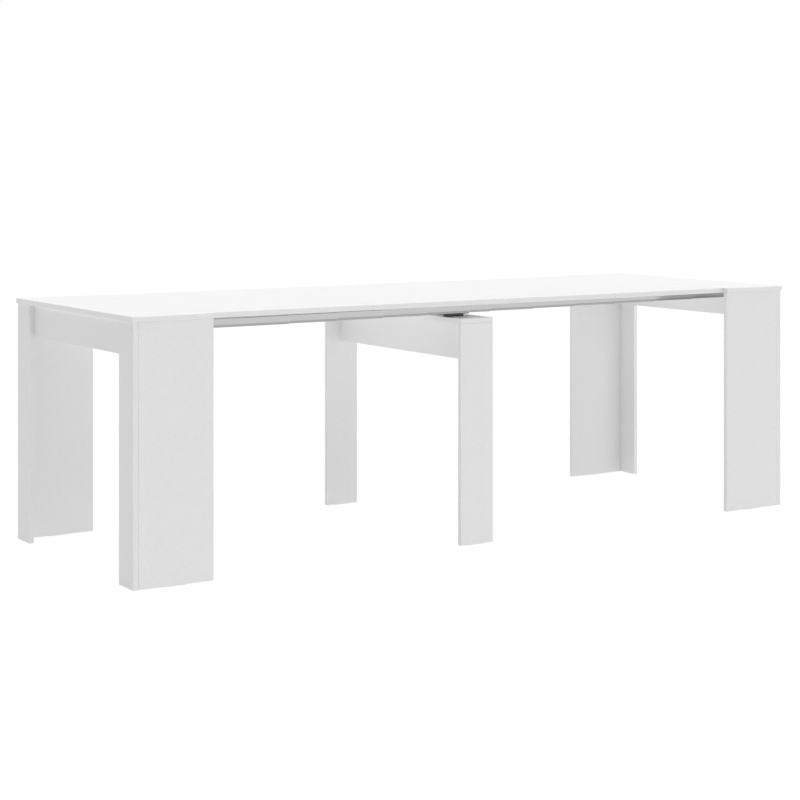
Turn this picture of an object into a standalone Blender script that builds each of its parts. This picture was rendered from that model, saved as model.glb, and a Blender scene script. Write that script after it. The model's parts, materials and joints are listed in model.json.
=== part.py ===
"""Extending console dining table, drawn fully open.

Two end frames of melamine board, a centre leg, three loose leaves and two telescoping
aluminium rails. Metres, +Z up. The origin is on the floor under the middle of the open
table, +X runs along its length and -Y is its front.
"""

from math import cos, pi, sin

import bmesh
import bpy

# Overall size, open and closed
LENGTH = 2.530
WIDTH = 0.900
HEIGHT = 0.784
CLOSED_LENGTH = 0.523
TRAVEL = LENGTH - CLOSED_LENGTH

# Boards
BOARD = 0.016
EDGE_BREAK = 0.0006
FIT = 0.0003
SEAM = 0.0006

# End frames: each corner leg is an angle of a narrow strip and a wide side board
END_TOP_DEPTH = 0.261
END_OVERHANG = 0.0045
SIDE_OVERHANG = 0.003
STRIP_WIDTH = 0.0995
SIDE_BOARD_END = 0.2608
APRON_HEIGHT = 0.101

# Leaves: a little narrower than the end tops, their two seams measured from the left end
LEAF_SETBACK = 0.023
LEFT_SEAM = 0.8244
RIGHT_SEAM = 1.7856
DOWEL_RADIUS = 0.004
DOWEL_LENGTH = 0.030
DOWEL_SPACING = 0.500
DOWEL_CLEARANCE = 0.0004
DOWEL_SIDES = 16

# Rails: interlocking elements side by side, each one step further from the front
RAIL_COUNT = 12
RAIL_LENGTH = 0.393
RAIL_START = 0.055
RAIL_FRONT = 0.048
RAIL_PITCH = 0.0134
RAIL_ABOVE = 0.0150
RAIL_BELOW = 0.0170

# How far each element slides past the one before it; the one that carries the centre leg slides least
CENTRE_RAIL = 5
RAIL_FIRST_STEP = 0.093
RAIL_LEFT_STEP = 0.1758
RAIL_CENTRE_STEP = 0.0915
CENTRE_TRAVEL = RAIL_FIRST_STEP + (CENTRE_RAIL - 1) * RAIL_LEFT_STEP + RAIL_CENTRE_STEP
RAIL_RIGHT_STEP = (TRAVEL - CENTRE_TRAVEL) / (RAIL_COUNT - 1 - CENTRE_RAIL)

# Rail section: a T-shaped head in front, a C-shaped channel for the next head behind
HEAD_HALF = 0.0091
HEAD_DEPTH = 0.003
NECK_HALF = 0.0045
NECK_BACK = 0.0064
WEB_BACK = 0.0094
CHANNEL_HALF = 0.0095
LIP_FRONT = 0.0167
LIP_HALF = 0.0051
RAIL_DEPTH = 0.0192

# Short fixed channels under the left end top, in which the first elements slide
GUIDE_LENGTH = 0.180
GUIDE_START = 0.060

# Steel angles that hold the last elements under the right end top
BRACKET_LENGTH = 0.100
BRACKET_START = 0.080
BRACKET_FLANGE = 0.025
BRACKET_SHEET = 0.002

# Centre leg, carried by one element of each rail
CENTRE_X = -0.0514
CENTRE_WIDTH = 0.125
CENTRE_INSET = 0.0205
CENTRE_TOP = 0.7258
CROSSBAR_BOTTOM = 0.5876
SPACER_LENGTH = 0.063
SPACER_FLANGE_LEFT = 0.0643
SPACER_FLANGE_RIGHT = 0.0537
SPACER_FLANGE_HEIGHT = 0.0022
SPACER_DEPTH = 0.024
SPACER_X = -0.0718
SPACER_INSET = 0.113

# Floor glides
GLIDE_HEIGHT = 0.001
GLIDE_WIDTH = 0.012
GLIDE_LENGTH = 0.070
GLIDE_ARC_STEPS = 6

# Heights that follow from the sizes above
TOP_UNDERSIDE = HEIGHT - BOARD
FRAME_TOP = TOP_UNDERSIDE - FIT
LEG_BOTTOM = GLIDE_HEIGHT + FIT
RAIL_Z = FRAME_TOP - RAIL_ABOVE

ENDS = (("left", -1), ("right", 1))
SIDES = (("front", -1), ("rear", 1))


def clear_scene():
    """Remove whatever the scene holds."""
    for obj in list(bpy.data.objects):
        bpy.data.objects.remove(obj)


def finish(name, colour, roughness, metallic=0.0):
    """A plain material in the colour of one finish."""
    material = bpy.data.materials.new(name)
    material.use_nodes = True
    shader = material.node_tree.nodes["Principled BSDF"]
    shader.inputs["Base Color"].default_value = (*colour, 1.0)
    shader.inputs["Roughness"].default_value = roughness
    shader.inputs["Metallic"].default_value = metallic
    return material


def along(end, near, far):
    """X span between two distances in from the left (-1) or right (+1) end of the table."""
    return sorted((end * (LENGTH / 2 - near), end * (LENGTH / 2 - far)))


def across(side, near, far):
    """Y span between two distances in from the front (-1) or rear (+1) edge of the table."""
    return sorted((side * (WIDTH / 2 - near), side * (WIDTH / 2 - far)))


def middle(span):
    """Middle of a (low, high) span."""
    return sum(span) / 2


def add_body(name, location):
    """Empty that carries the pieces of one rigid body, on the line that the body slides along."""
    empty = bpy.data.objects.new(name, None)
    empty.location = location
    bpy.context.scene.collection.objects.link(empty)
    return empty


def add_piece(name, mesh, centre, body, material):
    """Object for one piece, placed by its centre and parented to its body."""
    if not mesh.materials:
        mesh.materials.append(material)
    piece = bpy.data.objects.new(name, mesh)
    bpy.context.scene.collection.objects.link(piece)
    piece.parent = body
    piece.location = [c - b for c, b in zip(centre, body.location)]
    return piece


def prism_mesh(name, outline, axis, length):
    """Closed outline in the two other axes, extruded along X, Y or Z about the origin."""
    spot = "XYZ".index(axis)
    shape = bmesh.new()
    corners = []
    for point in outline:
        place = list(point)
        place.insert(spot, -length / 2)
        corners.append(shape.verts.new(place))
    cap = shape.faces.new(corners)
    grown = bmesh.ops.extrude_face_region(shape, geom=[cap])["geom"]
    reach = [0.0, 0.0, 0.0]
    reach[spot] = length
    moved = [part for part in grown if isinstance(part, bmesh.types.BMVert)]
    bmesh.ops.translate(shape, verts=moved, vec=reach)
    bmesh.ops.recalc_face_normals(shape, faces=shape.faces)
    mesh = bpy.data.meshes.new(name)
    shape.to_mesh(mesh)
    shape.free()
    return mesh


def add_board(name, x, y, z, body, material):
    """Rectangular board between three (low, high) spans, its edges lightly broken."""
    outline = [(x[0], y[0]), (x[1], y[0]), (x[1], y[1]), (x[0], y[1])]
    centre = (middle(x), middle(y), middle(z))
    centred = [(px - centre[0], py - centre[1]) for px, py in outline]
    mesh = prism_mesh(name, centred, "Z", z[1] - z[0])
    piece = add_piece(name, mesh, centre, body, material)
    edge = piece.modifiers.new("edge break", "BEVEL")
    edge.width = EDGE_BREAK
    edge.segments = 1
    return piece


def add_end_frame(end_name, end, body, white):
    """Top board, apron and the four leg boards of one end."""
    top_x = along(end, 0.0, END_TOP_DEPTH)
    add_board(f"{end_name}_top_board", top_x, across(1, 0.0, WIDTH), (TOP_UNDERSIDE, HEIGHT), body, white)
    strip_back = END_OVERHANG + BOARD
    inner_face = SIDE_OVERHANG + BOARD
    strip_x = along(end, END_OVERHANG, strip_back)
    side_x = along(end, strip_back + FIT, SIDE_BOARD_END)
    upright = (LEG_BOTTOM, FRAME_TOP)
    for side_name, side in SIDES:
        corner = f"{end_name}_{side_name}"
        strip_y = across(side, SIDE_OVERHANG, SIDE_OVERHANG + STRIP_WIDTH)
        side_y = across(side, SIDE_OVERHANG, inner_face)
        add_board(f"{corner}_leg_strip", strip_x, strip_y, upright, body, white)
        add_board(f"{corner}_side_board", side_x, side_y, upright, body, white)
    apron_x = along(end, strip_back + FIT, strip_back + FIT + BOARD)
    apron_y = across(1, inner_face + FIT, WIDTH - inner_face - FIT)
    add_board(f"{end_name}_apron", apron_x, apron_y, (FRAME_TOP - APRON_HEIGHT, FRAME_TOP), body, white)


def add_glide(name, x, y, body, material):
    """Low plastic skid with round ends under the edge of a leg board."""
    run = (GLIDE_LENGTH - GLIDE_WIDTH) / 2
    outline = []
    for end, start in ((1, -pi / 2), (-1, pi / 2)):
        for step in range(GLIDE_ARC_STEPS + 1):
            turn = start + pi * step / GLIDE_ARC_STEPS
            outline.append((end * run + cos(turn) * GLIDE_WIDTH / 2, sin(turn) * GLIDE_WIDTH / 2))
    mesh = prism_mesh(name, outline, "Z", GLIDE_HEIGHT)
    return add_piece(name, mesh, (x, y, GLIDE_HEIGHT / 2), body, material)


def rail_outline(side, with_head=True):
    """Section of a rail element, its head towards the table's front or rear edge."""
    head = [
        (0.0, HEAD_HALF),
        (HEAD_DEPTH, HEAD_HALF),
        (HEAD_DEPTH, NECK_HALF),
        (NECK_BACK, NECK_HALF),
    ]
    channel = [
        (NECK_BACK, RAIL_ABOVE),
        (RAIL_DEPTH, RAIL_ABOVE),
        (RAIL_DEPTH, LIP_HALF),
        (LIP_FRONT, LIP_HALF),
        (LIP_FRONT, CHANNEL_HALF),
        (WEB_BACK, CHANNEL_HALF),
    ]
    half = head + channel if with_head else channel
    lower = [(depth, -RAIL_BELOW if up == RAIL_ABOVE else -up) for depth, up in reversed(half)]
    return [(-side * depth, up) for depth, up in half + lower]


def rail_face(number, side):
    """Y of the front of one element's section, on the front (-1) or rear (+1) rail."""
    return side * (WIDTH / 2 - RAIL_FRONT - number * RAIL_PITCH)


def rail_travel(number):
    """How far one rail element, counted from 0 at the left, moves from the closed to the open table."""
    if number < CENTRE_RAIL:
        return RAIL_FIRST_STEP + number * RAIL_LEFT_STEP
    return CENTRE_TRAVEL + (number - CENTRE_RAIL) * RAIL_RIGHT_STEP


def rail_x(number):
    """X of the middle of one rail element of the open table."""
    return -LENGTH / 2 + RAIL_START + RAIL_LENGTH / 2 + rail_travel(number)


def add_rails(bodies, aluminium):
    """Both rails: element by element, each on the body that slides with it."""
    for side_name, side in SIDES:
        mesh = prism_mesh(f"{side_name}_rail", rail_outline(side), "X", RAIL_LENGTH)
        for number in range(RAIL_COUNT):
            centre = (rail_x(number), rail_face(number, side), RAIL_Z)
            add_piece(f"{side_name}_rail_{number + 1:02d}", mesh, centre, bodies[number], aluminium)


def add_guides(body, aluminium):
    """Headless lengths of the same section, one step in front of the first elements."""
    x = middle(along(-1, GUIDE_START, GUIDE_START + GUIDE_LENGTH))
    for side_name, side in SIDES:
        name = f"left_{side_name}_rail_guide"
        mesh = prism_mesh(name, rail_outline(side, with_head=False), "X", GUIDE_LENGTH)
        add_piece(name, mesh, (x, rail_face(-1, side), RAIL_Z), body, aluminium)


def add_bracket(name, side, face, body, steel):
    """Steel angle: one leg against the back of a rail element, the other under the end top."""
    flange = -side * BRACKET_FLANGE
    sheet = -side * BRACKET_SHEET
    drop = RAIL_ABOVE + HEAD_HALF
    outline = [
        (0.0, 0.0),
        (flange, 0.0),
        (flange, -BRACKET_SHEET),
        (sheet, -BRACKET_SHEET),
        (sheet, -drop),
        (0.0, -drop),
    ]
    mesh = prism_mesh(name, outline, "X", BRACKET_LENGTH)
    x = middle(along(1, BRACKET_START, BRACKET_START + BRACKET_LENGTH))
    return add_piece(name, mesh, (x, face, FRAME_TOP), body, steel)


def add_brackets(body, steel):
    """The pair under the right end top, against the backs of the last elements."""
    for side_name, side in SIDES:
        back = rail_face(RAIL_COUNT - 1, side) - side * (RAIL_DEPTH + FIT)
        add_bracket(f"right_{side_name}_rail_bracket", side, back, body, steel)


def add_centre_leg(body, white, black, glide_white):
    """Bridge-shaped leg under the rails, with the two spacers that hold it to them."""
    leg_x = (CENTRE_X - CENTRE_WIDTH / 2, CENTRE_X + CENTRE_WIDTH / 2)
    bar_x = (CENTRE_X - BOARD / 2, CENTRE_X + BOARD / 2)
    top_bottom = CENTRE_TOP - BOARD
    leg_z = (LEG_BOTTOM, top_bottom - FIT)
    inner = CENTRE_INSET + BOARD
    top_y = across(1, CENTRE_INSET, WIDTH - CENTRE_INSET)
    bar_y = across(1, inner + FIT, WIDTH - inner - FIT)
    add_board("centre_top_board", leg_x, top_y, (top_bottom, CENTRE_TOP), body, white)
    add_board("centre_crossbar", bar_x, bar_y, (CROSSBAR_BOTTOM, top_bottom - FIT), body, white)
    for side_name, side in SIDES:
        leg_y = across(side, CENTRE_INSET, inner)
        add_board(f"centre_{side_name}_leg", leg_x, leg_y, leg_z, body, white)
        add_glide(f"centre_{side_name}_glide", CENTRE_X, middle(leg_y), body, glide_white)
        add_spacer(f"{side_name}_rail_spacer", side, body, black)


def add_spacer(name, side, body, black):
    """Black block between the centre leg and a rail, with a wider flange under the rail."""
    height = RAIL_Z - RAIL_BELOW - CENTRE_TOP - 2 * FIT
    shoulder = height - SPACER_FLANGE_HEIGHT
    block = SPACER_LENGTH / 2
    outline = [
        (-block, 0.0),
        (block, 0.0),
        (block, shoulder),
        (SPACER_FLANGE_RIGHT, shoulder),
        (SPACER_FLANGE_RIGHT, height),
        (-SPACER_FLANGE_LEFT, height),
        (-SPACER_FLANGE_LEFT, shoulder),
        (-block, shoulder),
    ]
    mesh = prism_mesh(name, outline, "Y", SPACER_DEPTH)
    y = middle(across(side, SPACER_INSET, SPACER_INSET + SPACER_DEPTH))
    return add_piece(name, mesh, (SPACER_X, y, CENTRE_TOP + FIT), body, black)


def dowel_mesh(name, radius, length):
    """Round peg lying along X."""
    outline = []
    for step in range(DOWEL_SIDES):
        turn = 2 * pi * (step + 0.5) / DOWEL_SIDES
        outline.append((radius * cos(turn), radius * sin(turn)))
    return prism_mesh(name, outline, "X", length)


def drill(leaf, seam_x, y):
    """Blind hole in the edge of a leaf at a seam, cut by a hidden peg."""
    hole_name = f"{leaf.name}_hole_{'rear' if y > 0 else 'front'}_{'left' if seam_x < 0 else 'right'}"
    mesh = dowel_mesh(hole_name, DOWEL_RADIUS + DOWEL_CLEARANCE, DOWEL_LENGTH + 2 * DOWEL_CLEARANCE)
    cutter = bpy.data.objects.new(hole_name, mesh)
    cutter.location = (seam_x, y, HEIGHT - BOARD / 2)
    cutter.hide_render = True
    cutter.display_type = "WIRE"
    bpy.context.scene.collection.objects.link(cutter)
    cut = leaf.modifiers.new(hole_name, "BOOLEAN")
    cut.operation = "DIFFERENCE"
    cut.object = cutter


def add_leaves(bodies, white, beech):
    """Three loose leaves in a row, pegged to each other at the two seams between them."""
    left_seam = LEFT_SEAM - LENGTH / 2
    right_seam = RIGHT_SEAM - LENGTH / 2
    edge = LENGTH / 2 - END_TOP_DEPTH
    joints = (-edge, left_seam, right_seam, edge)
    leaves = []
    for name, start, end in zip(("left_leaf", "middle_leaf", "right_leaf"), joints, joints[1:]):
        x = (start + SEAM / 2, end - SEAM / 2)
        y = across(1, LEAF_SETBACK, WIDTH - LEAF_SETBACK)
        leaves.append(add_board(name, x, y, (TOP_UNDERSIDE, HEIGHT), bodies[name], white))
    left, centre, right = leaves
    for seam_name, seam, pair, keeper in (
        ("left_seam", left_seam, (left, centre), "left_leaf"),
        ("right_seam", right_seam, (centre, right), "right_leaf"),
    ):
        for side_name, side in SIDES:
            y = side * DOWEL_SPACING / 2
            for leaf in pair:
                drill(leaf, seam, y)
            name = f"{seam_name}_{side_name}_dowel"
            peg = dowel_mesh(name, DOWEL_RADIUS, DOWEL_LENGTH)
            add_piece(name, peg, (seam, y, HEIGHT - BOARD / 2), bodies[keeper], beech)


def add_bodies():
    """Empties for the end frames, the sliding rail stages and the leaves."""
    left = add_body("left_frame", (-LENGTH / 2, 0.0, RAIL_Z))
    rail_bodies = []
    for number in range(RAIL_COUNT):
        last = number == RAIL_COUNT - 1
        name = "right_frame" if last else f"rail_stage_{number + 1:02d}"
        rail_bodies.append(add_body(name, (rail_x(number), 0.0, RAIL_Z)))
    leaf_bodies = {}
    for name, low, high in (
        ("left_leaf", END_TOP_DEPTH, LEFT_SEAM),
        ("middle_leaf", LEFT_SEAM, RIGHT_SEAM),
        ("right_leaf", RIGHT_SEAM, LENGTH - END_TOP_DEPTH),
    ):
        x = (low + high) / 2 - LENGTH / 2
        leaf_bodies[name] = add_body(f"{name}_lift", (x, 0.0, TOP_UNDERSIDE))
    return left, rail_bodies, leaf_bodies


def main():
    clear_scene()
    white = finish("white melamine", (0.86, 0.86, 0.86), 0.5)
    aluminium = finish("anodised aluminium", (0.62, 0.63, 0.64), 0.35, 1.0)
    black = finish("black plastic", (0.03, 0.03, 0.032), 0.55)
    glide_white = finish("white plastic", (0.78, 0.78, 0.77), 0.5)
    steel = finish("zinc-plated steel", (0.55, 0.56, 0.58), 0.4, 1.0)
    beech = finish("beech", (0.58, 0.40, 0.24), 0.7)
    left, rail_bodies, leaf_bodies = add_bodies()
    frames = {"left": left, "right": rail_bodies[-1]}
    side_y_middle = SIDE_OVERHANG + BOARD / 2
    side_x_middle = (END_OVERHANG + BOARD + SIDE_BOARD_END) / 2
    for end_name, end in ENDS:
        add_end_frame(end_name, end, frames[end_name], white)
        for side_name, side in SIDES:
            x = end * (LENGTH / 2 - side_x_middle)
            y = side * (WIDTH / 2 - side_y_middle)
            add_glide(f"{end_name}_{side_name}_glide", x, y, frames[end_name], glide_white)
    add_rails(rail_bodies, aluminium)
    add_guides(frames["left"], aluminium)
    add_brackets(frames["right"], steel)
    add_centre_leg(rail_bodies[CENTRE_RAIL], white, black, glide_white)
    add_leaves(leaf_bodies, white, beech)


main()
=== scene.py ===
"""Looks of the extending console table: finished boards, extruded rails, fittings and a plain studio.

Metres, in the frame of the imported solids: +X along the table, -Y its front, +Z up.
"""

import json
import math

import bmesh
import bpy
from mathutils import Matrix, Vector


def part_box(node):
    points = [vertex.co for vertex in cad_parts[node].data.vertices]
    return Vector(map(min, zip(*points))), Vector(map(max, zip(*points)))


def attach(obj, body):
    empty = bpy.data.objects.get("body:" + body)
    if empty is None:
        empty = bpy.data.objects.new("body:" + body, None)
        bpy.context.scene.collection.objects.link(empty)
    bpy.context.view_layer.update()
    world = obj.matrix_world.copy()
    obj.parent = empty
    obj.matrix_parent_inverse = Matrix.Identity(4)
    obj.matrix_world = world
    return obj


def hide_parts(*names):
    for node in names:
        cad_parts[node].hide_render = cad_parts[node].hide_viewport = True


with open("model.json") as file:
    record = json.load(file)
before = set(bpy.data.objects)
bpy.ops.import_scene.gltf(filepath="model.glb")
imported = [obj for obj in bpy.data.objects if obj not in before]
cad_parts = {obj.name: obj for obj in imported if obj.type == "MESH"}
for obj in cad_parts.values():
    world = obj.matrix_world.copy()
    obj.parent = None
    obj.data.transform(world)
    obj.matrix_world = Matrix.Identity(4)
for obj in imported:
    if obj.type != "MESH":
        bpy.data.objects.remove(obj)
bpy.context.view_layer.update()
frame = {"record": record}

bl_info = {
    "name": "Extending console table",
    "version": (1, 0, 0),
    "blender": (4, 5, 0),
    "location": "View3D > Sidebar > Table",
    "description": "Dresses the solids of an extending console table and sets a studio around it",
    "category": "Object",
}

ENDS = ("left", "right")
SIDES = (("front", -1), ("rear", 1))
RAIL_COUNT = 12
BODY_OF = {node: body for body, nodes in frame["record"]["behaviour"]["bodies"].items() for node in nodes}

FRAME_BOARDS = (
    "top_board", "apron", "front_leg_strip", "rear_leg_strip", "front_side_board", "rear_side_board")
CENTRE_BOARDS = ("centre_top_board", "centre_crossbar", "centre_front_leg", "centre_rear_leg")
LEAVES = ("left_leaf", "middle_leaf", "right_leaf")
SEAMS = (("left_seam", ("left_leaf", "middle_leaf")), ("right_seam", ("middle_leaf", "right_leaf")))

# Section of a rail element: depths behind its front face, half heights, and its reach below the middle
RAIL_HEAD_HALF = 0.0091
RAIL_HEAD_DEPTH = 0.003
RAIL_NECK_HALF = 0.0045
RAIL_NECK_BACK = 0.0064
RAIL_WEB_BACK = 0.0094
RAIL_CHANNEL_HALF = 0.0095
RAIL_LIP_FRONT = 0.0167
RAIL_LIP_HALF = 0.0051
RAIL_DEPTH = 0.0192
RAIL_BELOW = 0.0170


class BoardSettings(bpy.types.PropertyGroup):
    """Finish of the melamine boards."""

    white: bpy.props.FloatVectorProperty(
        name="White", description="Colour of the board faces", subtype="COLOR", size=3,
        min=0.0, max=1.0, default=(0.86, 0.86, 0.86))
    band_white: bpy.props.FloatVectorProperty(
        name="Band white", description="Colour of the edge bands", subtype="COLOR", size=3,
        min=0.0, max=1.0, default=(0.865, 0.865, 0.865))
    edge_radius: bpy.props.FloatProperty(
        name="Edge radius", description="Rounding of the banded edges",
        default=0.0008, min=0.0001, max=0.004, unit="LENGTH")
    roughness: bpy.props.FloatProperty(
        name="Roughness", description="Mean roughness of the faces",
        default=0.32, min=0.0, max=1.0, subtype="FACTOR")
    grain_size: bpy.props.FloatProperty(
        name="Grain size", description="Size of the pressed texture",
        default=0.0034, min=0.0002, max=0.02, unit="LENGTH")
    grain_depth: bpy.props.FloatProperty(
        name="Grain depth", description="Depth of the pressed texture",
        default=0.00005, min=0.0, max=0.001, unit="LENGTH")


class RailSettings(bpy.types.PropertyGroup):
    """Finish of the aluminium rails."""

    metal: bpy.props.FloatVectorProperty(
        name="Metal", description="Colour of the anodised aluminium", subtype="COLOR", size=3,
        min=0.0, max=1.0, default=(0.53, 0.53, 0.53))
    # The groove colour is painted shade: darker metal that stands in for the shade in the recesses beside
    # the head
    groove_shade: bpy.props.FloatVectorProperty(
        name="Groove shade", description="Colour of the metal in the grooves beside the head",
        subtype="COLOR", size=3, min=0.0, max=1.0, default=(0.38, 0.38, 0.38))
    roughness: bpy.props.FloatProperty(
        name="Roughness", description="Mean roughness of the extrusion",
        default=0.16, min=0.0, max=1.0, subtype="FACTOR")
    corner_radius: bpy.props.FloatProperty(
        name="Corner radius", description="Rounding of the section's corners",
        default=0.00035, min=0.00005, max=0.001, unit="LENGTH")


class FittingSettings(bpy.types.PropertyGroup):
    """Sizes of the screws, caps and small fittings."""

    screw_diameter: bpy.props.FloatProperty(
        name="Screw head", description="Diameter of a screw head",
        default=0.0078, min=0.003, max=0.02, unit="LENGTH")
    screw_height: bpy.props.FloatProperty(
        name="Screw height", description="Height of a screw head",
        default=0.0021, min=0.0005, max=0.01, unit="LENGTH")
    cap_diameter: bpy.props.FloatProperty(
        name="Cover cap", description="Diameter of a cam lock's cover cap",
        default=0.017, min=0.005, max=0.04, unit="LENGTH")
    cap_height: bpy.props.FloatProperty(
        name="Cap height", description="How far a cover cap stands proud of its board",
        default=0.0011, min=0.0002, max=0.004, unit="LENGTH")
    bend_radius: bpy.props.FloatProperty(
        name="Bend radius", description="Outer radius of the bend in a steel angle",
        default=0.003, min=0.0005, max=0.01, unit="LENGTH")


class StageSettings(bpy.types.PropertyGroup):
    """Camera, floor and light."""

    camera_place: bpy.props.FloatVectorProperty(
        name="Camera", description="Where the camera stands", subtype="TRANSLATION", size=3,
        unit="LENGTH", default=(-3.5197, -5.386, 1.2256))
    camera_turn: bpy.props.FloatProperty(
        name="Turn", description="How far the camera turns right from looking along +Y",
        subtype="ANGLE", default=math.radians(32.643))
    lens: bpy.props.FloatProperty(
        name="Lens", description="Focal length in millimetres on a 36 mm frame",
        default=84.744, min=10.0)
    rise: bpy.props.FloatProperty(
        name="Vertical shift", description="Lens shift that keeps upright edges upright", default=-0.297)
    floor: bpy.props.FloatVectorProperty(
        name="Floor", description="Colour of the floor", subtype="COLOR", size=3,
        min=0.0, max=1.0, default=(0.42, 0.42, 0.42))
    floor_glow: bpy.props.FloatProperty(
        name="Floor glow", description="Light that the floor of the light table gives off",
        default=0.71, min=0.0)
    overhead: bpy.props.FloatProperty(
        name="Overhead", description="Strength of the lamp straight above", default=1.18, min=0.0)
    ceiling: bpy.props.FloatProperty(
        name="Ceiling", description="Strength of the very broad light from above", default=1.56, min=0.0)
    front_fill: bpy.props.FloatProperty(
        name="Front fill", description="Strength of the low broad light from the front right",
        default=0.85, min=0.0)


def settings(name):
    """One of this file's groups of settings in the current scene."""
    return getattr(bpy.context.scene, name)


def add_object(name, mesh):
    """Object at the origin for a finished mesh."""
    piece = bpy.data.objects.new(name, mesh)
    bpy.context.scene.collection.objects.link(piece)
    return piece


def mesh_of(shape, name):
    """Mesh from a bmesh, which is freed."""
    mesh = bpy.data.meshes.new(name)
    shape.to_mesh(mesh)
    shape.free()
    return mesh


def bake(piece):
    """Replace a piece's mesh and modifiers by the plain mesh that they give."""
    graph = bpy.context.evaluated_depsgraph_get()
    mesh = bpy.data.meshes.new_from_object(piece.evaluated_get(graph), depsgraph=graph)
    mesh.name = piece.name
    piece.modifiers.clear()
    piece.data = mesh
    return piece


def even_shading(piece):
    """Smooth shading weighted by face area, so flat faces stay flat beside rounded edges."""
    piece.data.shade_smooth()
    weighted = piece.modifiers.new("even shading", "WEIGHTED_NORMAL")
    weighted.keep_sharp = True
    return piece


def stand_for(piece, node):
    """The piece takes the place of one solid, on its body."""
    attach(piece, BODY_OF[node])
    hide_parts(node)
    return piece


def prism(outline, axis, length):
    """Closed outline in the two other axes, extruded along X, Y or Z about the origin."""
    spot = "XYZ".index(axis)
    shape = bmesh.new()
    corners = []
    for point in outline:
        place = list(point)
        place.insert(spot, -length / 2)
        corners.append(shape.verts.new(place))
    cap = shape.faces.new(corners)
    grown = bmesh.ops.extrude_face_region(shape, geom=[cap])["geom"]
    reach = [0.0, 0.0, 0.0]
    reach[spot] = length
    far = [item for item in grown if isinstance(item, bmesh.types.BMVert)]
    bmesh.ops.translate(shape, verts=far, vec=reach)
    bmesh.ops.recalc_face_normals(shape, faces=shape.faces)
    return shape


def loft(rings):
    """Closed skin through rings of equally many points, with flat ends."""
    shape = bmesh.new()
    loops = [[shape.verts.new(point) for point in ring] for ring in rings]
    for first, second in zip(loops, loops[1:]):
        for index in range(len(first)):
            shape.faces.new((first[index - 1], first[index], second[index], second[index - 1]))
    shape.faces.new(loops[0])
    shape.faces.new(loops[-1])
    bmesh.ops.recalc_face_normals(shape, faces=shape.faces)
    return shape


# Materials

# The useful range of a noise, and how the finishes vary about their mean
NOISE_LOW = 0.3
NOISE_HIGH = 0.7
MELAMINE_MOTTLE = 0.034
MELAMINE_GLOSS_GRAIN = 1 / 3
MELAMINE_GLOSS_SPREAD = 0.05
BAND_GLOSSIER = 0.08
BAND_GLOSS_SPREAD = 0.04
BAND_MOTTLE = 0.01
DIE_LINE_STRETCH = 600.0
DIE_LINE_MOTTLE = 0.05
DIE_LINE_GLOSS_SPREAD = 0.05


class Paint:
    """Small helper that builds one node material."""

    def __init__(self, name, colour, roughness, metallic=0.0):
        self.material = bpy.data.materials.new(name)
        self.material.use_nodes = True
        self.tree = self.material.node_tree
        self.shader = self.tree.nodes["Principled BSDF"]
        self.shader.inputs["Base Color"].default_value = (*colour, 1.0)
        self.shader.inputs["Roughness"].default_value = roughness
        self.shader.inputs["Metallic"].default_value = metallic
        self.place = self.tree.nodes.new("ShaderNodeTexCoord").outputs["Object"]

    def node(self, kind, **values):
        """New node with properties and socket values set by name."""
        made = self.tree.nodes.new(kind)
        for key, value in values.items():
            if hasattr(made, key):
                setattr(made, key, value)
            else:
                made.inputs[key.replace("_", " ").title()].default_value = value
        return made

    def wire(self, source, target):
        """Link two sockets."""
        self.tree.links.new(source, target)

    def noise(self, size, detail=2.0, stretch=(1.0, 1.0, 1.0)):
        """Noise whose features are about size metres, stretched along the axes."""
        turn = self.node("ShaderNodeMapping")
        turn.inputs["Scale"].default_value = [1.0 / (size * s) for s in stretch]
        self.wire(self.place, turn.inputs["Vector"])
        noise = self.node("ShaderNodeTexNoise", scale=1.0, detail=detail)
        self.wire(turn.outputs["Vector"], noise.inputs["Vector"])
        return noise.outputs["Fac"]

    def remap(self, value, low, high):
        """Spread the middle of a noise over low to high."""
        spread = self.node("ShaderNodeMapRange")
        ranges = (("From Min", NOISE_LOW), ("From Max", NOISE_HIGH), ("To Min", low), ("To Max", high))
        for key, number in ranges:
            spread.inputs[key].default_value = number
        self.wire(value, spread.inputs["Value"])
        return spread.outputs["Result"]

    def tint(self, value, dark, light):
        """Base colour between two colours."""
        ramp = self.node("ShaderNodeValToRGB")
        for stop, place, colour in zip(ramp.color_ramp.elements, (NOISE_LOW, NOISE_HIGH), (dark, light)):
            stop.position = place
            stop.color = (*colour, 1.0)
        self.wire(value, ramp.inputs["Fac"])
        self.wire(ramp.outputs["Color"], self.shader.inputs["Base Color"])

    def rough(self, value, low, high):
        """Roughness between two values."""
        self.wire(self.remap(value, low, high), self.shader.inputs["Roughness"])

    def bump(self, value, depth):
        """Surface relief of a given depth."""
        relief = self.node("ShaderNodeBump", strength=1.0, distance=depth)
        self.wire(value, relief.inputs["Height"])
        self.wire(relief.outputs["Normal"], self.shader.inputs["Normal"])


def shade(colour, factor):
    """Colour made darker or lighter."""
    return tuple(min(1.0, c * factor) for c in colour)


def melamine():
    """White board face with a fine pressed texture."""
    look = settings("table_boards")
    white = tuple(look.white)
    paint = Paint("white melamine", white, look.roughness)
    grain = paint.noise(look.grain_size, detail=3.0)
    paint.tint(grain, shade(white, 1 - MELAMINE_MOTTLE), shade(white, 1 + MELAMINE_MOTTLE))
    paint.rough(
        paint.noise(look.grain_size * MELAMINE_GLOSS_GRAIN),
        look.roughness - MELAMINE_GLOSS_SPREAD, look.roughness + MELAMINE_GLOSS_SPREAD)
    paint.bump(grain, look.grain_depth)
    return paint.material


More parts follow.
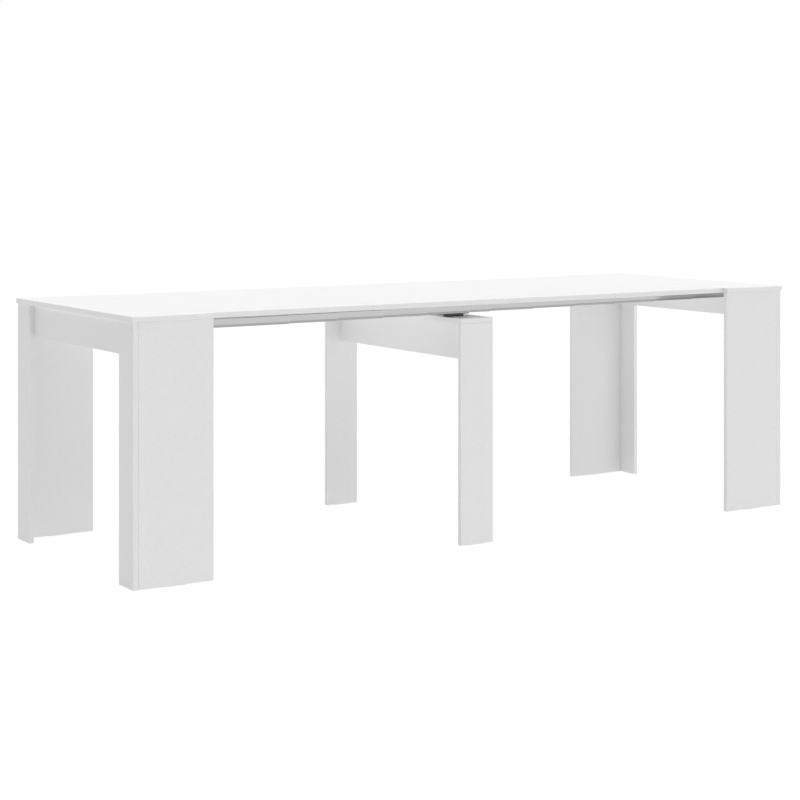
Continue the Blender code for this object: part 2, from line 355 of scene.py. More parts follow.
def edge_band():
    """Smoother white plastic band on the board edges."""
    look = settings("table_boards")
    white = tuple(look.band_white)
    roughness = look.roughness - BAND_GLOSSIER
    paint = Paint("white edge band", white, roughness)
    mottle = paint.noise(size=0.0072)
    paint.tint(mottle, shade(white, 1 - BAND_MOTTLE), shade(white, 1 + BAND_MOTTLE))
    paint.rough(mottle, roughness - BAND_GLOSS_SPREAD, roughness + BAND_GLOSS_SPREAD)
    paint.bump(paint.noise(size=0.0006), depth=0.00003)
    return paint.material


def extruded_metal(name, metal):
    """Smooth extrusion with fine die lines along its length."""
    look = settings("table_rails")
    paint = Paint(name, metal, look.roughness, metallic=1.0)
    lines = paint.noise(size=0.0005, detail=4.0, stretch=(DIE_LINE_STRETCH, 1.0, 1.0))
    paint.tint(lines, shade(metal, 1 - DIE_LINE_MOTTLE), shade(metal, 1 + DIE_LINE_MOTTLE))
    paint.rough(lines, look.roughness - DIE_LINE_GLOSS_SPREAD, look.roughness + DIE_LINE_GLOSS_SPREAD)
    paint.bump(lines, depth=0.00001)
    return paint.material


def aluminium():
    """Bright anodised face of a rail."""
    return extruded_metal("anodised aluminium", tuple(settings("table_rails").metal))


def painted_groove_shade_aluminium():
    """Aluminium darkened with painted shade in the grooves of a rail, where the next element slides."""
    return extruded_metal("aluminium in the grooves", tuple(settings("table_rails").groove_shade))


def zinc():
    """Zinc-plated sheet steel with a faint mottle."""
    paint = Paint("zinc-plated steel", colour=(0.55, 0.56, 0.58), roughness=0.38, metallic=1.0)
    mottle = paint.noise(size=0.004, detail=4.0)
    paint.tint(mottle, dark=(0.47, 0.48, 0.5), light=(0.62, 0.63, 0.65))
    paint.rough(mottle, low=0.3, high=0.46)
    paint.bump(paint.noise(size=0.0007), depth=0.00003)
    return paint.material


def black_plastic():
    """Moulded black plastic with a fine spark-eroded grain."""
    paint = Paint("black plastic", colour=(0.08, 0.08, 0.082), roughness=0.5)
    grain = paint.noise(size=0.0006, detail=3.0)
    paint.tint(grain, dark=(0.068, 0.068, 0.07), light=(0.094, 0.094, 0.097))
    paint.rough(grain, low=0.42, high=0.58)
    paint.bump(grain, depth=0.00006)
    return paint.material


def white_plastic():
    """Moulded white plastic of the glides and caps."""
    paint = Paint("white plastic", colour=(0.8, 0.8, 0.79), roughness=0.4)
    grain = paint.noise(size=0.0008, detail=3.0)
    paint.tint(grain, dark=(0.78, 0.78, 0.77), light=(0.83, 0.83, 0.82))
    paint.rough(grain, low=0.34, high=0.48)
    paint.bump(grain, depth=0.00004)
    return paint.material


def beech():
    """Bare beech with short dark flecks along the dowel."""
    paint = Paint("beech", colour=(0.58, 0.4, 0.24), roughness=0.7)
    flecks = paint.noise(size=0.0007, detail=4.0, stretch=(9.0, 1.0, 1.0))
    paint.tint(flecks, dark=(0.44, 0.28, 0.15), light=(0.64, 0.46, 0.29))
    paint.rough(flecks, low=0.6, high=0.8)
    paint.bump(flecks, depth=0.00008)
    return paint.material


def chipboard():
    """Raw chipboard inside the drilled holes."""
    paint = Paint("raw chipboard", colour=(0.5, 0.36, 0.22), roughness=0.85)
    chips = paint.noise(size=0.0016, detail=4.0)
    paint.tint(chips, dark=(0.34, 0.22, 0.12), light=(0.62, 0.47, 0.31))
    paint.rough(chips, low=0.75, high=0.95)
    paint.bump(chips, depth=0.0003)
    return paint.material


MAKERS = {
    "melamine": melamine,
    "edge band": edge_band,
    "aluminium": aluminium,
    "aluminium with painted groove shade": painted_groove_shade_aluminium,
    "zinc": zinc,
    "black plastic": black_plastic,
    "white plastic": white_plastic,
    "beech": beech,
    "chipboard": chipboard,
}
made_materials = {}


def material(name):
    """One of the finishes above, made once."""
    if name not in made_materials:
        made_materials[name] = MAKERS[name]()
    return made_materials[name]


# Boards

EDGE_SEGMENTS = 3
# A face is flat when its normal runs at least this far along the board's thin axis
FLAT = 0.999


def board(node):
    """Board with rounded, banded edges in the space of one solid."""
    low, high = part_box(node)
    size = high - low
    shape = bmesh.new()
    placed = Matrix.Translation((low + high) / 2) @ Matrix.Diagonal((*size, 1.0))
    bmesh.ops.create_cube(shape, size=1.0, matrix=placed)
    bmesh.ops.bevel(
        shape, geom=shape.edges[:], offset=settings("table_boards").edge_radius,
        segments=EDGE_SEGMENTS, profile=0.5, affect="EDGES")
    thin = min(range(3), key=lambda axis: size[axis])
    for face in shape.faces:
        is_face = abs(face.normal[thin]) > FLAT
        face.material_index = 0 if is_face else 1
    piece = add_object(f"{node}_panel", mesh_of(shape, node))
    piece.data.materials.append(material("melamine"))
    piece.data.materials.append(material("edge band"))
    return piece


def finish_board(piece, node):
    """Even shading, plain mesh and the solid that the board stands for."""
    bake(even_shading(piece))
    stand_for(piece, node)


class TABLE_OT_end_frames(bpy.types.Operator):
    """Make the boards of both end frames"""

    bl_idname = "console_table.end_frames"
    bl_label = "End frames"

    def execute(self, context):
        for end in ENDS:
            for name in FRAME_BOARDS:
                node = f"{end}_{name}"
                finish_board(board(node), node)
        return {"FINISHED"}


class TABLE_OT_centre_leg(bpy.types.Operator):
    """Make the boards of the centre leg"""

    bl_idname = "console_table.centre_leg"
    bl_label = "Centre leg"

    def execute(self, context):
        for node in CENTRE_BOARDS:
            finish_board(board(node), node)
        return {"FINISHED"}


# Leaves and their dowels

DOWEL_FLUTES = 20
DOWEL_HOLE_SIDES = 32
DOWEL_HOLE_CLEARANCE = 0.0004
DOWEL_FLUTE_DEPTH = 0.0003
DOWEL_CHAMFER = 0.0008


def ring_outline(radius, count, dip=0.0):
    """Round outline; every other point lies deeper by dip."""
    points = []
    for step in range(count):
        turn = 2 * math.pi * step / count
        reach = radius - (dip if step % 2 else 0.0)
        points.append((reach * math.cos(turn), reach * math.sin(turn)))
    return points


def dowel_nodes(seam):
    """Names of the front and the rear dowel of a seam."""
    return [f"{seam}_{side}_dowel" for side, _ in SIDES]


def drill(leaf, node):
    """Blind hole in a leaf for one dowel."""
    low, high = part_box(node)
    size = high - low
    outline = ring_outline(size.y / 2 + DOWEL_HOLE_CLEARANCE, DOWEL_HOLE_SIDES)
    shape = prism(outline, "X", size.x + 2 * DOWEL_HOLE_CLEARANCE)
    bmesh.ops.translate(shape, verts=shape.verts, vec=(low + high) / 2)
    cutter = add_object(f"{leaf.name}_{node}_cutter", mesh_of(shape, "cutter"))
    cutter.data.materials.append(material("chipboard"))
    cut = leaf.modifiers.new("dowel hole", "BOOLEAN")
    cut.operation = "DIFFERENCE"
    cut.material_mode = "TRANSFER"
    cut.object = cutter
    return cutter


class TABLE_OT_leaves(bpy.types.Operator):
    """Make the three leaves, drilled for their dowels"""

    bl_idname = "console_table.leaves"
    bl_label = "Leaves"

    def execute(self, context):
        for node in LEAVES:
            leaf = board(node)
            cutters = []
            for seam, pair in SEAMS:
                if node in pair:
                    cutters += [drill(leaf, dowel) for dowel in dowel_nodes(seam)]
            finish_board(leaf, node)
            for cutter in cutters:
                bpy.data.objects.remove(cutter)
        return {"FINISHED"}


class TABLE_OT_dowels(bpy.types.Operator):
    """Make the fluted dowels in the seams between the leaves"""

    bl_idname = "console_table.dowels"
    bl_label = "Dowels"

    def execute(self, context):
        for seam, _ in SEAMS:
            for node in dowel_nodes(seam):
                self.peg(node)
        return {"FINISHED"}

    def peg(self, node):
        """Dowel with flutes all round and chamfered ends."""
        low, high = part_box(node)
        middle, radius = (low + high) / 2, (high.y - low.y) / 2
        rings = []
        for x, reach in (
            (low.x, radius - DOWEL_CHAMFER),
            (low.x + DOWEL_CHAMFER, radius),
            (high.x - DOWEL_CHAMFER, radius),
            (high.x, radius - DOWEL_CHAMFER),
        ):
            outline = ring_outline(reach, 2 * DOWEL_FLUTES, DOWEL_FLUTE_DEPTH)
            rings.append([(x, middle.y + y, middle.z + z) for y, z in outline])
        piece = add_object(f"{node}_peg", mesh_of(loft(rings), node))
        piece.data.materials.append(material("beech"))
        stand_for(piece, node)


# Geometry node trees


class Tree:
    """Small helper that builds one geometry node tree with named inputs."""

    def __init__(self, name):
        self.group = bpy.data.node_groups.new(name, "GeometryNodeTree")
        self.group.interface.new_socket("Geometry", in_out="INPUT", socket_type="NodeSocketGeometry")
        self.group.interface.new_socket("Geometry", in_out="OUTPUT", socket_type="NodeSocketGeometry")
        self.group.interface.new_socket("Finish", in_out="INPUT", socket_type="NodeSocketMaterial")
        self.inputs = self.group.nodes.new("NodeGroupInput")
        self.output = self.group.nodes.new("NodeGroupOutput")

    def size(self, name):
        """Named length input."""
        socket = self.group.interface.new_socket(name, in_out="INPUT", socket_type="NodeSocketFloat")
        socket.subtype = "DISTANCE"
        return self.inputs.outputs[name]

    def place(self, name):
        """Named position input."""
        socket = self.group.interface.new_socket(name, in_out="INPUT", socket_type="NodeSocketVector")
        socket.subtype = "TRANSLATION"
        return self.inputs.outputs[name]

    def add(self, kind, **values):
        """New node with properties set by name."""
        made = self.group.nodes.new(kind)
        for key, value in values.items():
            setattr(made, key, value)
        return made

    def wire(self, source, target):
        """Link two sockets."""
        self.group.links.new(source, target)

    def feed(self, made, values):
        """Give a node its inputs, as sockets or numbers, and return its result."""
        for socket, value in zip(made.inputs, values):
            if isinstance(value, (int, float)):
                socket.default_value = value
            else:
                self.wire(value, socket)
        return made.outputs[0]

    def math(self, operation, first, second):
        """Result of one sum on two sockets or numbers."""
        return self.feed(self.add("ShaderNodeMath", operation=operation), (first, second))

    def vector(self, *values):
        """Vector from three sockets or numbers."""
        return self.feed(self.add("ShaderNodeCombineXYZ"), values)

    def cone(self, sides, bottom, top, height):
        """Truncated cone that stands on the origin."""
        made = self.add("GeometryNodeMeshCone")
        made.inputs["Vertices"].default_value = sides
        for name, value in (("Radius Bottom", bottom), ("Radius Top", top), ("Depth", height)):
            self.wire(value, made.inputs[name])
        return made.outputs["Mesh"]

    def cube(self, size, place):
        """Cuboid about a place."""
        made = self.add("GeometryNodeMeshCube")
        self.wire(size, made.inputs["Size"])
        move = self.add("GeometryNodeTransform")
        self.wire(made.outputs["Mesh"], move.inputs["Geometry"])
        self.wire(place, move.inputs["Translation"])
        return move.outputs["Geometry"]

    def cut(self, shape, tools):
        """Shape with the tools taken out of it."""
        made = self.add("GeometryNodeMeshBoolean", operation="DIFFERENCE", solver="EXACT")
        self.wire(shape, made.inputs["Mesh 1"])
        for tool in tools:
            self.wire(tool, made.inputs["Mesh 2"])
        return made.outputs["Mesh"]

    def instances(self, shape):
        """Shape at every point of the input mesh, turned to its facing."""
        facing = self.add("GeometryNodeInputNamedAttribute", data_type="FLOAT_VECTOR")
        facing.inputs["Name"].default_value = "facing"
        turn = self.add("FunctionNodeAlignRotationToVector", axis="Z")
        self.wire(facing.outputs["Attribute"], turn.inputs["Vector"])
        spread = self.add("GeometryNodeInstanceOnPoints")
        self.wire(self.inputs.outputs["Geometry"], spread.inputs["Points"])
        self.wire(shape, spread.inputs["Instance"])
        self.wire(turn.outputs["Rotation"], spread.inputs["Rotation"])
        return spread.outputs["Instances"]

    def close(self, geometry):
        """Realize Instances and Set Material end the tree."""
        real = self.add("GeometryNodeRealizeInstances")
        self.wire(geometry, real.inputs["Geometry"])
        paint = self.add("GeometryNodeSetMaterial")
        self.wire(real.outputs["Geometry"], paint.inputs["Geometry"])
        self.wire(self.inputs.outputs["Finish"], paint.inputs["Material"])
        self.wire(paint.outputs["Geometry"], self.output.inputs["Geometry"])
        return self.group


def run_tree(piece, group, **values):
    """Run a tree on a piece with its named inputs set, and keep the plain mesh."""
    modifier = piece.modifiers.new("tree", "NODES")
    modifier.node_group = group
    for item in group.interface.items_tree:
        key = item.name.lower().replace(" ", "_")
        if item.in_out == "INPUT" and key in values:
            modifier[item.identifier] = values[key]
    return bake(piece)


# Rails

RAIL_CORNER_STEPS = 2
# A normal that runs further than this along X belongs to a cut end
END_FACE = 0.5


def extrusion_tree():
    """Sweeps the closed outline of the input mesh along X."""
    tree = Tree("rail extrusion")
    start = tree.place("Start")
    length = tree.size("Length")
    outline = tree.add("GeometryNodeMeshToCurve")
    tree.wire(tree.inputs.outputs["Geometry"], outline.inputs["Mesh"])
    path = tree.add("GeometryNodeCurvePrimitiveLine")
    tree.wire(tree.vector(length, 0.0, 0.0), path.inputs["End"])
    sweep = tree.add("GeometryNodeCurveToMesh")
    tree.wire(path.outputs["Curve"], sweep.inputs["Curve"])
    tree.wire(outline.outputs["Curve"], sweep.inputs["Profile Curve"])
    sweep.inputs["Fill Caps"].default_value = True
    move = tree.add("GeometryNodeTransform")
    tree.wire(sweep.outputs["Mesh"], move.inputs["Geometry"])
    tree.wire(start, move.inputs["Translation"])
    return tree.close(move.outputs["Geometry"])


def rail_section(above, with_head):
    """Corners of a rail element's section, all round from the top of its head or channel."""
    head = [
        (0.0, RAIL_HEAD_HALF),
        (RAIL_HEAD_DEPTH, RAIL_HEAD_HALF),
        (RAIL_HEAD_DEPTH, RAIL_NECK_HALF),
        (RAIL_NECK_BACK, RAIL_NECK_HALF),
    ]
    channel = [
        (RAIL_NECK_BACK, above),
        (RAIL_DEPTH, above),
        (RAIL_DEPTH, RAIL_LIP_HALF),
        (RAIL_LIP_FRONT, RAIL_LIP_HALF),
        (RAIL_LIP_FRONT, RAIL_CHANNEL_HALF),
        (RAIL_WEB_BACK, RAIL_CHANNEL_HALF),
    ]
    half = head + channel if with_head else channel
    return half + [(depth, -RAIL_BELOW if up == above else -up) for depth, up in reversed(half)]


def rounded(outline, radius, steps):
    """Outline of right angles with every corner rounded by a short arc."""
    points = []
    for index, corner in enumerate(outline):
        here = Vector(corner)
        before = (Vector(outline[index - 1]) - here).normalized()
        after = (Vector(outline[(index + 1) % len(outline)]) - here).normalized()
        centre = here + (before + after) * radius
        for step in range(steps + 1):
            turn = math.pi / 2 * step / steps
            points.append(centre - after * radius * math.cos(turn) - before * radius * math.sin(turn))
    return points


def outline_mesh(name, points):
    """Closed loop of edges in the XY plane."""
    mesh = bpy.data.meshes.new(name)
    edges = [(index, (index + 1) % len(points)) for index in range(len(points))]
    mesh.from_pydata([(p.x, p.y, 0.0) for p in points], edges, [])
    return mesh


class TABLE_OT_rails(bpy.types.Operator):
    """Make the elements of both telescoping rails and the guides that they start from"""

    bl_idname = "console_table.rails"
    bl_label = "Rails"

    def execute(self, context):
        group = extrusion_tree()
        for side, sign in SIDES:
            self.element(group, f"left_{side}_rail_guide", sign, with_head=False)
            for number in range(1, RAIL_COUNT + 1):
                self.element(group, f"{side}_rail_{number:02d}", sign, with_head=True)
        return {"FINISHED"}

    def element(self, group, node, sign, with_head):
        """Extrusion in the space of one solid, on the front or rear rail."""
        low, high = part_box(node)
        above = high.z - low.z - RAIL_BELOW
        radius = settings("table_rails").corner_radius
        section = rounded(rail_section(above, with_head), radius, RAIL_CORNER_STEPS)
        # The sweep lays a section's X and Y along -Y and -Z, and turns a clockwise one inside out
        points = [Vector((sign * depth, -up)) for depth, up in section]
        if sign < 0:
            points.reverse()
        piece = add_object(f"{node}_extrusion", outline_mesh(node, points))
        back = high.y if sign < 0 else low.y
        start = Vector((low.x, back + sign * RAIL_DEPTH, low.z + RAIL_BELOW))
        run_tree(piece, group, start=start, length=high.x - low.x, finish=material("aluminium"))
        self.paint_groove_shade(piece, start.y, sign)
        bake(even_shading(piece))
        stand_for(piece, node)

    def paint_groove_shade(self, piece, front, sign):
        """Painted shade: the darker groove colour on every face that lies behind the head."""
        piece.data.materials.append(material("aluminium with painted groove shade"))
        for face in piece.data.polygons:
            # Faces behind the head, but not the cut ends, take the darker colour as painted shade
            depth = sign * (front - face.center.y)
            if depth > RAIL_HEAD_DEPTH and abs(face.normal.x) < END_FACE:
                face.material_index = 1


# Small fittings

SPACER_FLANGE_HEIGHT = 0.0022
SPACER_BLOCK_LENGTH = 0.063
SPACER_FLANGE_LEFT = 0.0643
SPACER_ROUNDING = 0.0007
SPACER_SEGMENTS = 3
GLIDE_ROUNDING = 0.0006
GLIDE_ROUNDING_STEPS = 3
GLIDE_END_STEPS = 8
SHEET = 0.002
SHEET_EDGE = 0.0002
SHEET_EDGE_SEGMENTS = 2
# Shorter edges of an angle run through its sheet
SHEET_EDGE_LIMIT = 1.1 * SHEET
PLATE_CORNER = 0.005
BEND_SEGMENTS = 6
# Places closer than this are the same
NEARLY = 1e-6
FLANGE_SCREW_SPREAD = 0.032
PLATE_SCREW_SPREAD = 0.014
PLATE_SCREW_HEIGHT = 0.008
CAP_DROP = 0.028
SIDE_CAP_INSET = 0.045
APRON_CAP_SHARES = (0.18, 0.5, 0.82)
CROSSBAR_CAP_RISE = 0.034


def soft_edges(piece, width, segments):
    """Round every sharp edge of a piece."""
    rounding = piece.modifiers.new("rounding", "BEVEL")
    rounding.width = width
    rounding.segments = segments
    rounding.limit_method = "ANGLE"
    return piece


class TABLE_OT_spacers(bpy.types.Operator):
    """Make the moulded spacers between the rails and the centre leg"""

    bl_idname = "console_table.spacers"
    bl_label = "Spacers"

    def execute(self, context):
        for side, _ in SIDES:
            self.moulding(f"{side}_rail_spacer")
        return {"FINISHED"}

    def moulding(self, node):
        """Block with a thin flange on top that reaches further to the left and right."""
        low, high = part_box(node)
        middle = low.x + SPACER_FLANGE_LEFT
        left, right = middle - SPACER_BLOCK_LENGTH / 2, middle + SPACER_BLOCK_LENGTH / 2
        step = high.z - SPACER_FLANGE_HEIGHT
        outline = [
            (high.x, high.z), (high.x, step), (right, step), (right, low.z),
            (left, low.z), (left, step), (low.x, step), (low.x, high.z)]
        shape = prism(outline, "Y", high.y - low.y)
        bmesh.ops.translate(shape, verts=shape.verts, vec=(0, (low.y + high.y) / 2, 0))
        piece = add_object(f"{node}_moulding", mesh_of(shape, node))
        piece.data.materials.append(material("black plastic"))
        bake(even_shading(soft_edges(piece, SPACER_ROUNDING, SPACER_SEGMENTS)))
        stand_for(piece, node)


class TABLE_OT_glides(bpy.types.Operator):
    """Make the floor glides under the legs"""

    bl_idname = "console_table.glides"
    bl_label = "Glides"

    def execute(self, context):
        for name in ("left", "right", "centre"):
            for side, _ in SIDES:
                self.skid(f"{name}_{side}_glide")
        return {"FINISHED"}

    def skid(self, node):
        """Flat glide with a rounded lower edge."""
        low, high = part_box(node)
        levels = [(high.z, 0.0)]
        for step in range(GLIDE_ROUNDING_STEPS + 1):
            turn = math.pi / 2 * step / GLIDE_ROUNDING_STEPS
            rise, inset = (GLIDE_ROUNDING * (1 - share) for share in (math.sin(turn), math.cos(turn)))
            levels.append((low.z + rise, inset))
        rings = [[(x, y, z) for x, y in self.oval(low, high, inset)] for z, inset in levels]
        piece = add_object(f"{node}_skid", mesh_of(loft(rings), node))
        piece.data.materials.append(material("white plastic"))
        bake(even_shading(piece))
        stand_for(piece, node)

    def oval(self, low, high, inset):
        """Outline of a skid with round ends."""
        middle, radius = (low + high) / 2, (high.y - low.y) / 2
        straight = (high.x - low.x) / 2 - radius
        points = []
        for end in (1, -1):
            for step in range(GLIDE_END_STEPS + 1):
                turn = math.pi * step / GLIDE_END_STEPS - math.pi / 2
                points.append((
                    middle.x + end * (straight + (radius - inset) * math.cos(turn)),
                    middle.y + end * (radius - inset) * math.sin(turn)))
        return points


class TABLE_OT_brackets(bpy.types.Operator):
    """Make the steel angles that hold the last rail elements"""

    bl_idname = "console_table.brackets"
    bl_label = "Brackets"

    def execute(self, context):
        for side, sign in SIDES:
            self.angle(f"right_{side}_rail_bracket", sign)
        return {"FINISHED"}

    def angle(self, node, toward):
        """Angle whose upright plate stands at the side of the rail."""
        low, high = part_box(node)
        plate, tip = (high.y, low.y) if toward > 0 else (low.y, high.y)
        inner, under = plate - toward * SHEET, high.z - SHEET
        outline = [
            (plate, high.z), (tip, high.z), (tip, under),
            (inner, under), (inner, low.z), (plate, low.z)]
        shape = prism(outline, "X", high.x - low.x)
        bmesh.ops.translate(shape, verts=shape.verts, vec=((low.x + high.x) / 2, 0, 0))
        self.round_edges(shape, PLATE_CORNER, lambda edge: edge.calc_length() < SHEET_EDGE_LIMIT)
        bend = settings("table_fittings").bend_radius
        self.round_edges(shape, bend, lambda edge: self.runs_at(edge, plate, high.z))
        self.round_edges(shape, bend - SHEET, lambda edge: self.runs_at(edge, inner, under))
        piece = add_object(f"{node}_angle", mesh_of(shape, node))
        piece.data.materials.append(material("zinc"))
        bake(even_shading(soft_edges(piece, SHEET_EDGE, SHEET_EDGE_SEGMENTS)))
        stand_for(piece, node)

    def round_edges(self, shape, radius, wanted):
        """Round the edges that a test picks."""
        edges = [edge for edge in shape.edges if wanted(edge)]
        bmesh.ops.bevel(
            shape, geom=edges, offset=radius, segments=BEND_SEGMENTS, profile=0.5, affect="EDGES")

    def runs_at(self, edge, y, z):
        """True for an edge along X at one place of the section."""
        return all(
            abs(vert.co.y - y) < NEARLY and abs(vert.co.z - z) < NEARLY for vert in edge.verts)


# Screw heads and caps: sides, and shares of the radius; the cap's slope and rise are shares of its height
HEAD_SIDES = 20
HEAD_TOP = 0.76
RECESS_LENGTH = 1.0
RECESS_WIDTH = 0.2
CAP_SIDES = 36
CAP_SLOPE = 0.6
NOTCH_LENGTH = 0.3
NOTCH_WIDTH = 0.2
NOTCH_RISE = 0.8


def head_tree():
    """Cross-recess screw heads at the points of the input mesh."""
    tree = Tree("screw heads")
    diameter = tree.size("Diameter")
    height = tree.size("Height")
    radius = tree.math("MULTIPLY", diameter, 0.5)
    head = tree.cone(HEAD_SIDES, radius, tree.math("MULTIPLY", radius, HEAD_TOP), height)
    long = tree.math("MULTIPLY", radius, RECESS_LENGTH)
    wide = tree.math("MULTIPLY", radius, RECESS_WIDTH)
    rim = tree.vector(0.0, 0.0, height)
    arms = [tree.cube(tree.vector(*arm, height), rim) for arm in ((long, wide), (wide, long))]
    return tree.close(tree.instances(tree.cut(head, arms)))


def cap_tree():
    """Cover caps with a pry notch at the points of the input mesh."""
    tree = Tree("cover caps")
    diameter = tree.size("Diameter")
    height = tree.size("Height")
    radius = tree.math("MULTIPLY", diameter, 0.5)
    top = tree.math("SUBTRACT", radius, tree.math("MULTIPLY", height, CAP_SLOPE))
    disc = tree.cone(CAP_SIDES, radius, top, height)
    long, wide = (tree.math("MULTIPLY", radius, share) for share in (NOTCH_LENGTH, NOTCH_WIDTH))
    rim = tree.vector(0.0, radius, tree.math("MULTIPLY", height, NOTCH_RISE))
    notch = tree.cube(tree.vector(long, wide, height), rim)
    return tree.close(tree.instances(tree.cut(disc, [notch])))


def scatter(name, group, spots, slot, **values):
    """One mesh for each body, with a copy of the tree's shape at every spot."""
    for body in sorted({body for body, _, _ in spots}):
        own = [(place, facing) for where, place, facing in spots if where == body]
        mesh = bpy.data.meshes.new(name)
        mesh.from_pydata([place for place, _ in own], [], [])
        facing = mesh.attributes.new("facing", "FLOAT_VECTOR", "POINT")
        for item, (_, normal) in zip(facing.data, own):
            item.vector = normal
        piece = add_object(f"{body}_{name}", mesh)
        run_tree(piece, group, **values)
        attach(piece, body)


class TABLE_OT_screws(bpy.types.Operator):
    """Make the screws in the steel angles"""

    bl_idname = "console_table.screws"
    bl_label = "Screws"

    def execute(self, context):
        look = settings("table_fittings")
        spots = []
        for side, sign in SIDES:
            spots += self.bracket_spots(f"right_{side}_rail_bracket", sign)
        scatter(
            "screws", head_tree(), spots, "bracket_steel",
            diameter=look.screw_diameter, height=look.screw_height, finish=material("zinc"))
        return {"FINISHED"}

    def bracket_spots(self, node, toward):
        """Two screws up through the flange and two through the upright plate."""
        low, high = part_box(node)
        middle = (low + high) / 2
        plate = (high.y if toward > 0 else low.y) - toward * SHEET
        row = middle.y - toward * SHEET / 2
        spots = []
        for way in (-1, 1):
            flange = Vector((middle.x + way * FLANGE_SCREW_SPREAD, row, high.z - SHEET))
            spots.append((BODY_OF[node], flange, (0, 0, -1)))
            upright = Vector((middle.x + way * PLATE_SCREW_SPREAD, plate, low.z + PLATE_SCREW_HEIGHT))
            spots.append((BODY_OF[node], upright, (0, -toward, 0)))
        return spots


class TABLE_OT_cover_caps(bpy.types.Operator):
    """Make the caps over the cam locks inside the frames"""

    bl_idname = "console_table.cover_caps"
    bl_label = "Cover caps"

    def execute(self, context):
        look = settings("table_fittings")
        spots = self.crossbar_spots()
        for end in ENDS:
            spots += self.apron_spots(end)
            for side, sign in SIDES:
                spots += self.side_spots(f"{end}_{side}_side_board", sign)
        scatter(
            "cover_caps", cap_tree(), spots, "glide_plastic",
            diameter=look.cap_diameter, height=look.cap_height, finish=material("white plastic"))
        return {"FINISHED"}

    def side_spots(self, node, sign):
        """Two caps near the top of a side board's inner face."""
        low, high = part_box(node)
        face = high.y if sign < 0 else low.y
        return [
            (BODY_OF[node], Vector((x, face, high.z - CAP_DROP)), (0, -sign, 0))
            for x in (low.x + SIDE_CAP_INSET, high.x - SIDE_CAP_INSET)]

    def apron_spots(self, end):
        """Row of caps near the top of an apron's inner face."""
        node = f"{end}_apron"
        low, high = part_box(node)
        face, way = (high.x, 1) if end == "left" else (low.x, -1)
        return [
            (BODY_OF[node], Vector((face, low.y + share * (high.y - low.y), high.z - CAP_DROP)), (way, 0, 0))
            for share in APRON_CAP_SHARES]

    def crossbar_spots(self):
        """Two caps near each end of the crossbar, on its right face."""
        node = "centre_crossbar"
        low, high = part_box(node)
        middle = (low.z + high.z) / 2
        return [
            (BODY_OF[node], Vector((high.x, y, middle + rise)), (1, 0, 0))
            for y in (low.y + CAP_DROP, high.y - CAP_DROP)
            for rise in (-CROSSBAR_CAP_RISE, CROSSBAR_CAP_RISE)]


# Stage

FLOOR_REACH = 60.0
FLOOR_WHITE = 0.85
SENSOR_WIDTH = 36.0

# Lamps: the strength's setting, azimuth from the front, elevation and spread in degrees
LAMPS = (
    ("overhead", 0.0, 90.0, 20.0),
    ("ceiling", 0.0, 90.0, 120.0),
    ("front_fill", 45.0, 17.0, 80.0),
)


def add_lamp(name, strength, azimuth, elevation, spread):
    """Distant soft lamp at an azimuth from the front and an elevation."""
    lamp = bpy.data.lights.new(name, "SUN")
    lamp.energy = strength
    lamp.angle = spread
    level = math.cos(elevation)
    source = Vector((level * math.sin(azimuth), -level * math.cos(azimuth), math.sin(elevation)))
    placed = bpy.data.objects.new(name, lamp)
    placed.rotation_euler = source.to_track_quat("Z", "Y").to_euler()
    bpy.context.scene.collection.objects.link(placed)


def studio_world():
    """Plain white to the camera and to reflections; the lamps and the floor light the object."""
    world = bpy.data.worlds.new("studio")
    world.use_nodes = True
    nodes, links = world.node_tree.nodes, world.node_tree.links
    nodes["Background"].inputs["Color"].default_value = (1.0, 1.0, 1.0, 1.0)
    links.new(ray_seen(nodes, links), nodes["Background"].inputs["Strength"])
    bpy.context.scene.world = world


def ray_seen(nodes, links):
    """1 for camera, glossy and transmission rays, 0 for light on the object."""
    path = nodes.new("ShaderNodeLightPath")
    total = path.outputs["Is Camera Ray"]
    for name in ("Is Glossy Ray", "Is Transmission Ray"):
        either = nodes.new("ShaderNodeMath")
        either.operation = "MAXIMUM"
        links.new(total, either.inputs[0])
        links.new(path.outputs[name], either.inputs[1])
        total = either.outputs[0]
    return total


def floor_material(colour, glow):
    """Pale glowing floor that shows white to the camera and still takes soft shadows."""
    made = bpy.data.materials.new("studio floor")
    made.use_nodes = True
    nodes, links = made.node_tree.nodes, made.node_tree.links
    nodes.remove(nodes["Principled BSDF"])
    matt = nodes.new("ShaderNodeBsdfDiffuse")
    matt.inputs["Color"].default_value = (*colour, 1.0)
    light = nodes.new("ShaderNodeEmission")
    light.inputs["Strength"].default_value = glow
    lit = nodes.new("ShaderNodeAddShader")
    links.new(matt.outputs["BSDF"], lit.inputs[0])
    links.new(light.outputs["Emission"], lit.inputs[1])
    white = nodes.new("ShaderNodeEmission")
    share = nodes.new("ShaderNodeMath")
    share.operation = "MULTIPLY"
    share.inputs[1].default_value = FLOOR_WHITE
    links.new(ray_seen(nodes, links), share.inputs[0])
    mix = nodes.new("ShaderNodeMixShader")
    links.new(share.outputs[0], mix.inputs[0])
    links.new(lit.outputs["Shader"], mix.inputs[1])
    links.new(white.outputs["Emission"], mix.inputs[2])
    links.new(mix.outputs["Shader"], nodes["Material Output"].inputs["Surface"])
    return made


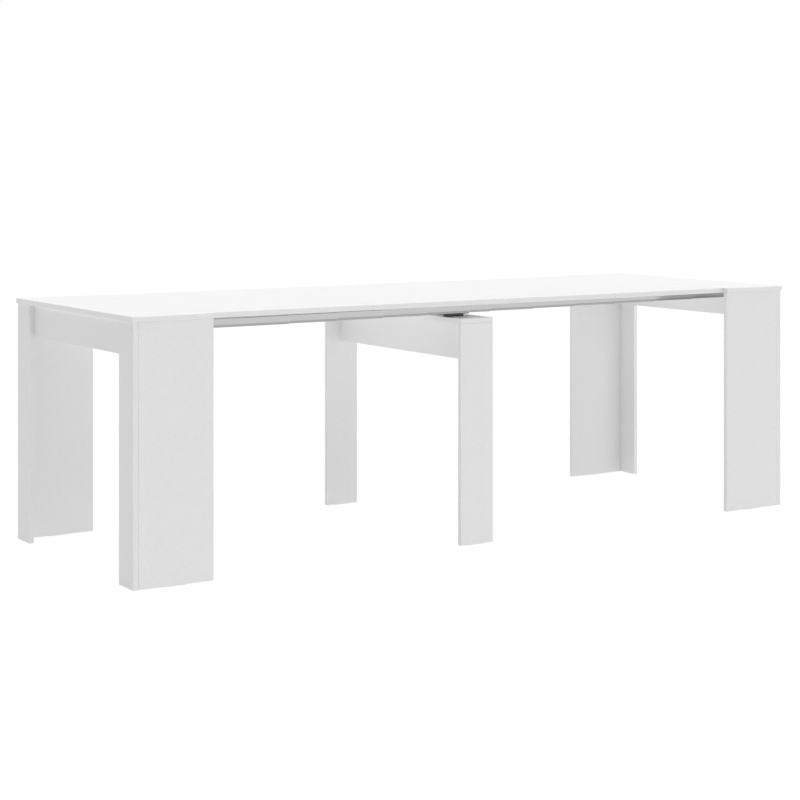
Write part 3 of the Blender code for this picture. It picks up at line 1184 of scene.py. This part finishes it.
class TABLE_OT_stage(bpy.types.Operator):
    """Make the floor, the light and the camera"""

    bl_idname = "console_table.stage"
    bl_label = "Stage"

    def execute(self, context):
        look = settings("table_stage")
        context.scene.view_settings.view_transform = "Standard"
        studio_world()
        shape = bmesh.new()
        bmesh.ops.create_grid(shape, size=FLOOR_REACH)
        floor = add_object("studio_floor", mesh_of(shape, "studio floor"))
        floor.data.materials.append(floor_material(look.floor, look.floor_glow))
        for name, *angles in LAMPS:
            add_lamp(name, getattr(look, name), *map(math.radians, angles))
        lens = bpy.data.cameras.new("photograph")
        lens.sensor_fit = "HORIZONTAL"
        lens.sensor_width = SENSOR_WIDTH
        lens.lens = look.lens
        lens.shift_y = look.rise
        camera = bpy.data.objects.new("photograph", lens)
        camera.location = look.camera_place
        camera.rotation_euler = (math.pi / 2, 0.0, -look.camera_turn)
        context.scene.collection.objects.link(camera)
        context.scene.camera = camera
        return {"FINISHED"}


class TABLE_PT_console(bpy.types.Panel):
    """Sidebar list of the table's pieces"""

    bl_label = "Console table"
    bl_space_type = "VIEW_3D"
    bl_region_type = "UI"
    bl_category = "Table"

    def draw(self, context):
        for group in GROUPS:
            box = self.layout.box()
            values = getattr(context.scene, group)
            for name in values.__annotations__:
                box.prop(values, name)
        for operator in OPERATORS:
            self.layout.operator(operator.bl_idname)


GROUPS = {
    "table_boards": BoardSettings,
    "table_rails": RailSettings,
    "table_fittings": FittingSettings,
    "table_stage": StageSettings,
}
OPERATORS = (
    TABLE_OT_stage,
    TABLE_OT_end_frames,
    TABLE_OT_centre_leg,
    TABLE_OT_leaves,
    TABLE_OT_dowels,
    TABLE_OT_rails,
    TABLE_OT_spacers,
    TABLE_OT_glides,
    TABLE_OT_brackets,
    TABLE_OT_screws,
    TABLE_OT_cover_caps,
)
CLASSES = (*GROUPS.values(), *OPERATORS, TABLE_PT_console)


def register():
    for made in CLASSES:
        bpy.utils.register_class(made)
    for name, group in GROUPS.items():
        setattr(bpy.types.Scene, name, bpy.props.PointerProperty(type=group))


def unregister():
    for name in GROUPS:
        delattr(bpy.types.Scene, name)
    for made in reversed(CLASSES):
        bpy.utils.unregister_class(made)


def main():
    register()
    bpy.ops.console_table.stage()
    bpy.ops.console_table.end_frames()
    bpy.ops.console_table.centre_leg()
    bpy.ops.console_table.leaves()
    bpy.ops.console_table.dowels()
    bpy.ops.console_table.rails()
    bpy.ops.console_table.spacers()
    bpy.ops.console_table.glides()
    bpy.ops.console_table.brackets()
    bpy.ops.console_table.screws()
    bpy.ops.console_table.cover_caps()


if __name__ == "__main__":
    main()
